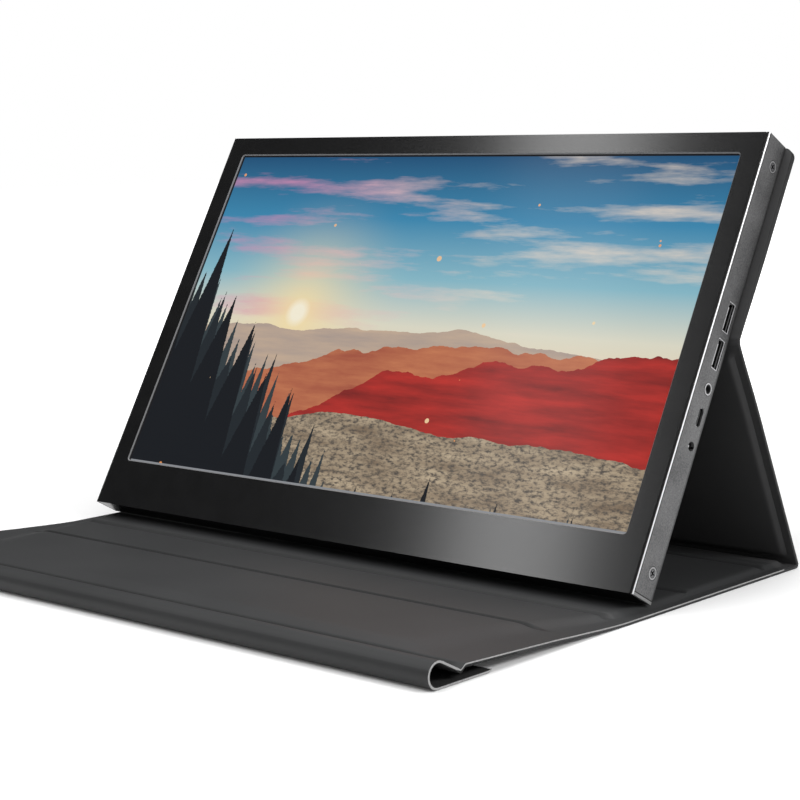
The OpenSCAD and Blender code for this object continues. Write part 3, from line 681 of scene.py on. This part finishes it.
def strip_points(rows):
    """Points and painted shade values: per row the under side, the upper side and two edge
    points.
    """
    verts, painted_shade = [], []
    for row in rows:
        for share, places in ((lambda t: 0.0, COLS), (lambda t: 1.0, COLS),
                              (pale_from, (COLS[0], COLS[-1]))):
            for x in places:
                xx = max(-row.half, min(row.half, x * row.half / COVER_HALF))
                t = row.thick(abs(xx))
                verts.append(tuple(c * MM for c in (xx, *step(row.under, row.normal,
                                                              t * share(t)))))
                painted_shade.append(row.worn(abs(xx)))
    return verts, painted_shade


def strip_faces(count):
    """Faces and material slots of a closed skin over so many rows."""
    n = len(COLS)
    stride = 2 * n + 2
    left_edge, right_edge = (0, n, 2 * n), (n - 1, 2 * n - 1, 2 * n + 1)
    faces, slots = [], []

    def put(face, slot):
        faces.append(face)
        slots.append(slot)

    for i in range(count - 1):
        a, b = i * stride, (i + 1) * stride
        for j in range(n - 1):
            put((a + j, a + j + 1, b + j + 1, b + j), OUTER_SLOT)
            put((a + n + j, b + n + j, b + n + j + 1, a + n + j + 1), LINING_SLOT)
        for under, over, middle in (left_edge, right_edge):
            put((a + under, b + under, b + middle, a + middle), OUTER_SLOT)
            put((a + middle, b + middle, b + over, a + over), CUT_SLOT)
    for a in (0, (count - 1) * stride):
        for j in range(n - 1):
            left = [a + left_edge[2]] if j == 0 else []
            right = [a + right_edge[2]] if j == n - 2 else []
            put([a + j, *left, a + n + j, a + n + j + 1, *right, a + j + 1], CUT_SLOT)
    return faces, slots


def recalc(mesh):
    """Turn all faces outward."""
    bm = bmesh.new()
    bm.from_mesh(mesh)
    bmesh.ops.recalc_face_normals(bm, faces=bm.faces)
    bm.to_mesh(mesh)
    bm.free()


def strip(name, rows, replaced, materials):
    """A stretch of the cover as one closed skin, in place of the CAD pieces it hides.

    replaced: the CAD pieces it hides; materials: lining, outer, cut edge.
    """
    verts, painted_shade = strip_points(rows)
    faces, slots = strip_faces(len(rows))
    mesh = bpy.data.meshes.new(name)
    mesh.from_pydata(verts, [], faces)
    mesh.validate()
    # per-point painted shade, read by the lining's colour
    mesh.attributes.new("painted_shade", "FLOAT", "POINT").data.foreach_set("value", painted_shade)
    for m in materials:
        mesh.materials.append(m)
    mesh.polygons.foreach_set("material_index", slots)
    mesh.update()
    o = bpy.data.objects.new(name, mesh)
    bpy.context.scene.collection.objects.link(o)
    recalc(mesh)
    mesh.polygons.foreach_set("use_smooth", [slot != CUT_SLOT for slot in slots])
    mesh.set_sharp_from_angle(angle=SHARP_ANGLE)
    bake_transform(o)
    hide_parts(*replaced)


# ------------------------------------------------------------------ cover: base and leaves

# Fold lines along the flat part of the cover: place, half width, depth as a share of the
# padding, reach across, then how dark the painted shade along the crease is, how far behind
# the line its middle lies, and its half width
Line = namedtuple("Line", "y width depth reach dark off wide")
LINES = [
    Line(GROOVE_Y, 4.2, 0.85, 184.0, 0.25, 1.5, 1.5),
    Line(FOLD_A[0], 3.6, 0.9, 184.0, 0.40, 1.7, 2.2),
    Line(FOLD_B[0], 2.4, 0.95, 180.0, 0.65, 1.2, 1.6),
    Line(SPINE[0], 3.4, 0.9, 186.0, 0.25, 1.5, 1.5),
    # the tab's fold has no dip here, only a painted shadow line along its notch
    Line(TAB[0], 0.1, 0.0, 188.0, 0.6, 2.4, 1.9),
]
LEAF_LIFT = 1.4  # how far the leaves stand proud of straight
TAB_DIP = 2.0  # how far they then dip into the tab's fold
LINING = [MAT["lining"], MAT["outer"], MAT["cut"]]


def pad(inset, soft, full=COVER_T, y=None):
    """Thickness across a row: thin rim, soft rise, board, with a dip near each fold line.

    inset: how far the padding stays from the side; soft: the width of its rise; full: its
    thickness; y: the row's place among the fold lines, if they dent it.
    """
    near = [] if y is None else [g for g in LINES if abs(y - g.y) < g.width]

    def thick(x):
        rise = 1 - smooth(COVER_HALF - inset - soft, COVER_HALF - inset, x)
        dip = 1.0
        for g in near:
            fade = 1 - smooth(g.reach - 6, g.reach, x)
            wave = 0.5 + 0.5 * math.cos(math.pi * abs(y - g.y) / g.width)
            dip = min(dip, 1 - g.depth * fade * wave)
        return RIM_T + (full - RIM_T) * rise * dip

    return thick


def painted_shade_near(y):
    """How much painted shade darkens a row at y across, from the creases beside it."""
    near = [(g.dark * (1 - smooth(0.35 * g.wide, g.wide, abs(y - g.y - g.off))), g.reach)
            for g in LINES if abs(y - g.y - g.off) < g.wide]

    def worn(x):
        return 1.0 - max((dark * (1 - smooth(reach - 7, reach, x)) for dark, reach in near),
                         default=0.0)

    return worn


def stations(a, b, extra, spacing=3.0):
    """Places from a to b, closer together near each place in extra."""
    out = {round(a, 4), round(b, 4)}
    lo, hi = min(a, b), max(a, b)
    k = 0
    while lo + k * spacing < hi:
        out.add(round(lo + k * spacing, 4))
        k += 1
    for g in extra:
        for d in (-5, -4, -3.2, -2.4, -1.8, -1.2, -0.6, 0, 0.6, 1.2, 1.8, 2.4, 3.2, 4, 5):
            if lo < g + d < hi:
                out.add(round(g + d, 4))
    return sorted(out, reverse=a > b)


def flat_row(y):
    """A row of the cover where it lies near the table: base and leaves."""
    if y >= FOLD_A[0]:
        z, slope = 0.0, 0.0
    elif y >= FOLD_B[0]:
        slope = (FOLD_B[1] - RIM_T) / (FOLD_A[0] - FOLD_B[0])
        z = (FOLD_A[0] - y) * slope
    else:
        slope = (TAB[1] - FOLD_B[1]) / (FOLD_B[0] - TAB[0])
        z = FOLD_B[1] - RIM_T + (FOLD_B[0] - y) * slope
    z += LEAF_LIFT * (1 - smooth(FOLD_B[0] - 14, FOLD_A[0], y))
    z -= TAB_DIP * (1 - smooth(TAB[0] + 0.9, TAB[0] + 4.5, y))
    # the leaves' padding starts further in and rises more softly
    ahead = 1 - smooth(TAB[0] + 20, FOLD_A[0] + 30, y)
    full = COVER_T
    if y < TAB[0] + 14:
        full = RIM_T + (COVER_T - RIM_T) * smooth(TAB[0] + 1, TAB[0] + 14, y)
    lean = math.atan(slope)
    return Row((y, z), (math.sin(lean), math.cos(lean)),
               pad(5.0 + 15.0 * ahead, 3.0 + 17.0 * ahead, full, y), worn=painted_shade_near(y))


def flat_rows(a, b):
    return [flat_row(y) for y in stations(a, b, [g.y for g in LINES])]


# Where one strip ends and the next begins
SPLIT_BASE = GROOVE_Y + 30
SPLIT_INNER = (FOLD_A[0] + FOLD_B[0]) / 2
SPLIT_OUTER = (FOLD_B[0] + TAB[0]) / 2
SPLIT_SPINE = SPINE[0] + 9.5

strip("cover_base", flat_rows(SPLIT_BASE, SPLIT_INNER),
      ["base_skin", "base_lining", "base_rear_board", "base_front_board", "leaf_inner_skin",
       "leaf_inner_lining", "leaf_inner_board"], LINING)
strip("cover_leaves", flat_rows(SPLIT_INNER, SPLIT_OUTER),
      ["leaf_outer_skin", "leaf_outer_lining", "leaf_outer_board"], LINING)
strip("cover_spine_front", flat_rows(SPLIT_BASE, SPLIT_SPINE),
      ["spine_skin", "spine_lining", "spine_board"], LINING)

# ------------------------------------------------------------------ cover: spine and flap

BEAD = COVER_T / 2  # the rear fold's radius
DRAWN_IN = 1.1  # how far flap and back panel are drawn in at the upper fold
FOLD_GAP = 0.9  # how far from the upper fold its bend starts and ends
QUARTER = math.radians(90)


def flap_geometry():
    """Lean of the flap from upright, and its length from fold to fold."""
    run_y, run_z = UPPER[0] - REAR[0], UPPER[1] - REAR[1]
    length = math.hypot(run_y, run_z)
    shift = BEAD - UPPER_INSET
    lean = math.atan2(-run_y, run_z) + math.asin(shift / length)
    return lean, math.sqrt(length * length - shift * shift)


FLAP_LEAN, FLAP_RUN = flap_geometry()
OUT = (math.cos(FLAP_LEAN), math.sin(FLAP_LEAN))
ALONG = (-math.sin(FLAP_LEAN), math.cos(FLAP_LEAN))
SPLIT_FLAP = FLAP_RUN / 2
FLAP = [MAT["flap_lit_lining"], MAT["outer"], MAT["flap_edge"]]


def unpadded(x):
    return RIM_T


def blended(thick_a, thick_b, k):
    """Thickness a share k of the way from one function of x to another."""
    return lambda x: thick_a(x) + (thick_b(x) - thick_a(x)) * k


def spine_row(y):
    k = smooth(REAR[0] - 5.0, REAR[0] - 2.2, y)
    return Row((y, 0.0), (0.0, 1.0), blended(pad(5.0, 3.0), unpadded, k))


def bead_row(angle):
    """A row of the sheet where it wraps round the rear fold's axis."""
    c, s = math.cos(angle), math.sin(angle)
    return Row(step(REAR, (c, s), BEAD), (-c, -s), unpadded)


def flap_row(s):
    """A row of the flap, s up from the rear fold. Its under side is the outer face."""
    out = BEAD - DRAWN_IN * smooth(FLAP_RUN - 40, FLAP_RUN - 3, s)
    k = smooth(2.0, 7.0, s) * (1 - smooth(FLAP_RUN - 8.0, FLAP_RUN - 3.0, s))
    return Row(step(step(REAR, OUT, out), ALONG, s), (-OUT[0], -OUT[1]),
               blended(unpadded, pad(4.0, 2.0), k))


def panel_row(h, half=COVER_HALF):
    """A row of the back panel, h up the display."""
    tight = DRAWN_IN * (1 - smooth(CREASE_H + 1, CREASE_H + 45, h))
    k = smooth(CREASE_H + 2.5, CREASE_H + 5.0, h)
    t = RIM_T + (BACK_T - ADHESIVE_T - tight - RIM_T) * k
    return Row(on_display(h, BACK_T - tight), FRONT[1:], lambda x: t, half)


def between(a, b, t):
    """A row part of the way from row a to row b, on a soft bend."""
    ny, nz = (p + (q - p) * t for p, q in zip(a.normal, b.normal))
    length = math.hypot(ny, nz)
    under = tuple(p + (q - p) * t for p, q in zip(a.under, b.under))
    return Row(under, (ny / length, nz / length), blended(a.thick, b.thick, t), worn=a.worn)


def low_rows():
    """Rows from the spine, round the rear fold, to the middle of the flap."""
    spine = [spine_row(y) for y in stations(SPLIT_SPINE, REAR[0], [REAR[0] - 3], 2.5)]
    bead = [bead_row(-QUARTER + (FLAP_LEAN + QUARTER) * i / 8) for i in range(1, 9)]
    flap = [flap_row(s) for s in (0.8, 1.6, 2.4, 3.2, 4, 5, 6, 7, 8.5, 12, 20, 30, 40, 50,
                                  SPLIT_FLAP)]
    return spine + bead + flap


def high_rows():
    """Rows from the middle of the flap, over the upper fold, to the back panel's top."""
    flap = [flap_row(s) for s in (SPLIT_FLAP, 72, 84, 96, 104, 110)]
    flap += [flap_row(FLAP_RUN - d) for d in (12, 9, 8, 7, 6, 5, 4, 3, 2.2, 1.5, FOLD_GAP)]
    panel = [panel_row(CREASE_H + h)
             for h in (FOLD_GAP, 1.5, 2.2, 3, 4, 5, 7, 12, 25, 45, 70)]
    bend = [between(flap[-1], panel[0], t) for t in (0.17, 0.34, 0.5, 0.66, 0.83)]
    panel.append(panel_row(DISP_H - 6))
    # the top corners are round
    for d in (BACK_R, 4, 3, 2, 1.4, 0.8, 0.4, 0.1, 0.0):
        corner = BACK_R - math.sqrt(BACK_R**2 - (BACK_R - d) ** 2)
        panel.append(panel_row(DISP_H - d, COVER_HALF - corner))
    return flap + bend + panel


strip("cover_flap_low", low_rows(),
      ["rear_crease", "flap_skin", "flap_lining", "flap_board"], FLAP)
strip("cover_flap_high", high_rows(),
      ["upper_crease", "back_panel_skin", "back_panel_board"], FLAP)

# ------------------------------------------------------------------ cover: closing tab

# A thin sheet that leaves the outer leaf, curls over and ends under it
TAB_T = 1.2
TAB_SHADE = 0.4  # how much darker painted shade makes it where it curls under
CURL_R = 5.3  # radius to the middle of the sheet
CURL_BACK = 12.6  # the curl's axis, ahead of the tab's fold
CURL = (TAB[0] - CURL_BACK, CURL_R + TAB_T / 2)
OUTER_R, INNER_R = CURL_R + TAB_T / 2, CURL_R - TAB_T / 2
CURL_SEAM = math.radians(150)  # where the tab's two strips meet
CURL_FOOT = math.radians(270)  # where the curl meets the table
TAB_SKINS = [MAT["lining"], MAT["suede"], MAT["cut"]]


def sheet(x):
    return TAB_T


def curl_start():
    """Angle round the curl at which the straight stretch from the fold touches it."""
    rise = TAB[1] - CURL[1]
    return math.acos(OUTER_R / math.hypot(CURL_BACK, rise)) + math.atan2(rise, CURL_BACK)


CURL_START = curl_start()


def curl_row(angle):
    spoke = (math.cos(angle), math.sin(angle))
    # painted shade: the curl darkens from its top round to its underside
    dim = 1 - TAB_SHADE * smooth(math.radians(110), math.radians(215), angle)
    return Row(step(CURL, spoke, INNER_R), spoke, sheet, worn=lambda x: dim)


def leg_row(t):
    """A row of the straight stretch, a share t of the way from the tab's fold to the curl."""
    spoke = (math.cos(CURL_START), math.sin(CURL_START))
    touch = step(CURL, spoke, OUTER_R)
    top = tuple(p + (q - p) * t for p, q in zip(TAB, touch))
    return Row(step(top, spoke, -TAB_T), spoke, sheet)


def end_row(y):
    """A row of the flat end on the table, thinned at its edge and darkened with painted shade.
    """
    thin = TAB_T * (1 - 0.6 * smooth(TAB[0] + 18.5, TAB[0] + 20, y))
    return Row((y, TAB_T), (0.0, -1.0), lambda x: thin, worn=lambda x: 1 - TAB_SHADE)


def curl_rows(first, last, count):
    return [curl_row(first + (last - first) * i / count) for i in range(count + 1)]


def root_rows():
    """Rows from the outer leaf, through the tab's fold, round the front of the curl."""
    leaf = flat_rows(SPLIT_OUTER, TAB[0] + 0.9)
    leg = [leg_row(t) for t in (0.12, 0.3, 0.6, 0.85)]
    knee = [between(leaf[-1], leg[0], t) for t in (0.25, 0.5, 0.75)]
    return leaf + knee + leg + curl_rows(CURL_START, CURL_SEAM, 10)


def end_rows():
    """Rows from there, round under the curl and back along the table."""
    places = [CURL[0] + d for d in (2, 8, 16, 24)] + [TAB[0] + d for d in (18, 19.4, 20)]
    return curl_rows(CURL_SEAM, CURL_FOOT, 14) + [end_row(y) for y in places]


strip("cover_tab_root", root_rows(),
      ["tab_root"], TAB_SKINS)
strip("cover_tab_end", end_rows(),
      ["tab_end"],
      TAB_SKINS)

# ------------------------------------------------------------------ stage, light and camera

FLOOR_HALF, FLOOR_DROP = 6.0, 0.0002  # metres: half its width, and how far below the table
WORLD_LIGHT, WORLD_MIRRORED = 0.45, 0.07  # the world's strength as light and in mirrors


def floor_material():
    """Pale floor that keeps the shadows, and glows to white away from the object."""
    m, nt, bsdf = new_material("pale_floor")
    bsdf.inputs["Roughness"].default_value = 1.0
    bsdf.inputs["Specular IOR Level"].default_value = 0.0
    seen = node(nt, "ShaderNodeLightPath")
    # the white floor throws little light back up at the object
    link(nt, mix(nt, seen.outputs["Is Diffuse Ray"], grey(0.92), grey(0.35)),
         bsdf.inputs["Base Color"])
    far = scaled(nt, vector_math(nt, "LENGTH", place(nt)), 1.6, -0.56, clamp=True)
    bsdf.inputs["Emission Color"].default_value = (1, 1, 1, 1)
    link(nt, product(nt, seen.outputs["Is Camera Ray"], scaled(nt, far, 0.97, 0.03)),
         bsdf.inputs["Emission Strength"])
    return m


def add_floor():
    s = FLOOR_HALF
    mesh = bpy.data.meshes.new("floor")
    mesh.from_pydata([(-s, -s, 0), (s, -s, 0), (s, s, 0), (-s, s, 0)], [], [(0, 1, 2, 3)])
    mesh.materials.append(floor_material())
    o = bpy.data.objects.new("floor", mesh)
    bpy.context.scene.collection.objects.link(o)
    o.location.z = -FLOOR_DROP


def pose(x, y, z, at):
    """The matrix of an object at a place, from its three axes."""
    return Matrix((
        (x.x, y.x, z.x, at[0]),
        (x.y, y.y, z.y, at[1]),
        (x.z, y.z, z.z, at[2]),
        (0, 0, 0, 1),
    ))


def area_light(name, at, to, size, power, size_y=None, long_axis=(0, 0, 1)):
    """A soft lamp. Places and sizes in metres, power in watts."""
    d = bpy.data.lights.new(name, "AREA")
    d.energy = power
    d.shape = "RECTANGLE"
    d.size = size
    d.size_y = size_y or size
    o = bpy.data.objects.new(name, d)
    bpy.context.scene.collection.objects.link(o)
    back = (Vector(at) - Vector(to)).normalized()
    up = Vector(long_axis)
    up = (up - back * up.dot(back)).normalized()
    o.matrix_world = pose(up.cross(back), up, back, at)


def add_world():
    """White to the camera and through glass, dimmer as light and in mirror images."""
    world = bpy.data.worlds.new("studio")
    bpy.context.scene.world = world
    world.use_nodes = True
    nt = world.node_tree
    background = next(n for n in nt.nodes if n.type == "BACKGROUND")
    background.inputs["Color"].default_value = (1, 1, 1, 1)
    path = node(nt, "ShaderNodeLightPath")
    seen = most(nt, path.outputs["Is Camera Ray"], path.outputs["Is Transmission Ray"])
    lit = scaled(nt, path.outputs["Is Glossy Ray"], WORLD_MIRRORED - WORLD_LIGHT, WORLD_LIGHT)
    link(nt, scaled(nt, seen, 1 - WORLD_LIGHT, lit), background.inputs["Strength"])


def add_camera():
    """The photograph's camera, fitted to the corners of the display and the cover.

    It has half the fit's lens shift, so that views from other sides stay in the frame.
    """
    at = Vector((686.81, -712.96 + SEAT_Y, 217.48)) * MM
    right = Vector((0.75666, 0.65362, -0.01575)).normalized()
    up = -Vector((0.05864, -0.09184, -0.99405))
    up = (up - right * up.dot(right)).normalized()
    d = bpy.data.cameras.new("camera")
    d.sensor_width = 36
    d.lens = 88.84
    d.shift_x = -0.0624
    d.shift_y = -0.0712
    d.clip_start = 0.05
    o = bpy.data.objects.new("camera", d)
    bpy.context.scene.collection.objects.link(o)
    o.matrix_world = pose(right, up, right.cross(up), at)
    bpy.context.scene.camera = o


add_floor()
area_light("key", at=(-0.2, -1.1, 2.3), to=(0, 0, 0.08), size=1.3, power=18)
# The soft band that the bezel mirrors right of its middle
area_light("band", at=(-1.25, -1.03, 1.46), to=(0.1, 0.06, 0.11), size=0.20, power=5.8,
           size_y=1.5, long_axis=(0, 0.67, 0.745))
area_light("fill", at=(1.9, -1.0, 1.2), to=(0, 0, 0.08), size=1.4, power=6)
# Low light from the right, which reaches in behind the display
area_light("side", at=(1.25, 0.07, 0.85), to=(0.12, 0.10, 0), size=0.4, power=9)
area_light("top", at=(-0.2, 0.6, 2.2), to=(0, 0, 0.05), size=1.6, power=20)
add_world()
add_camera()
bpy.context.scene.view_settings.view_transform = "Standard"
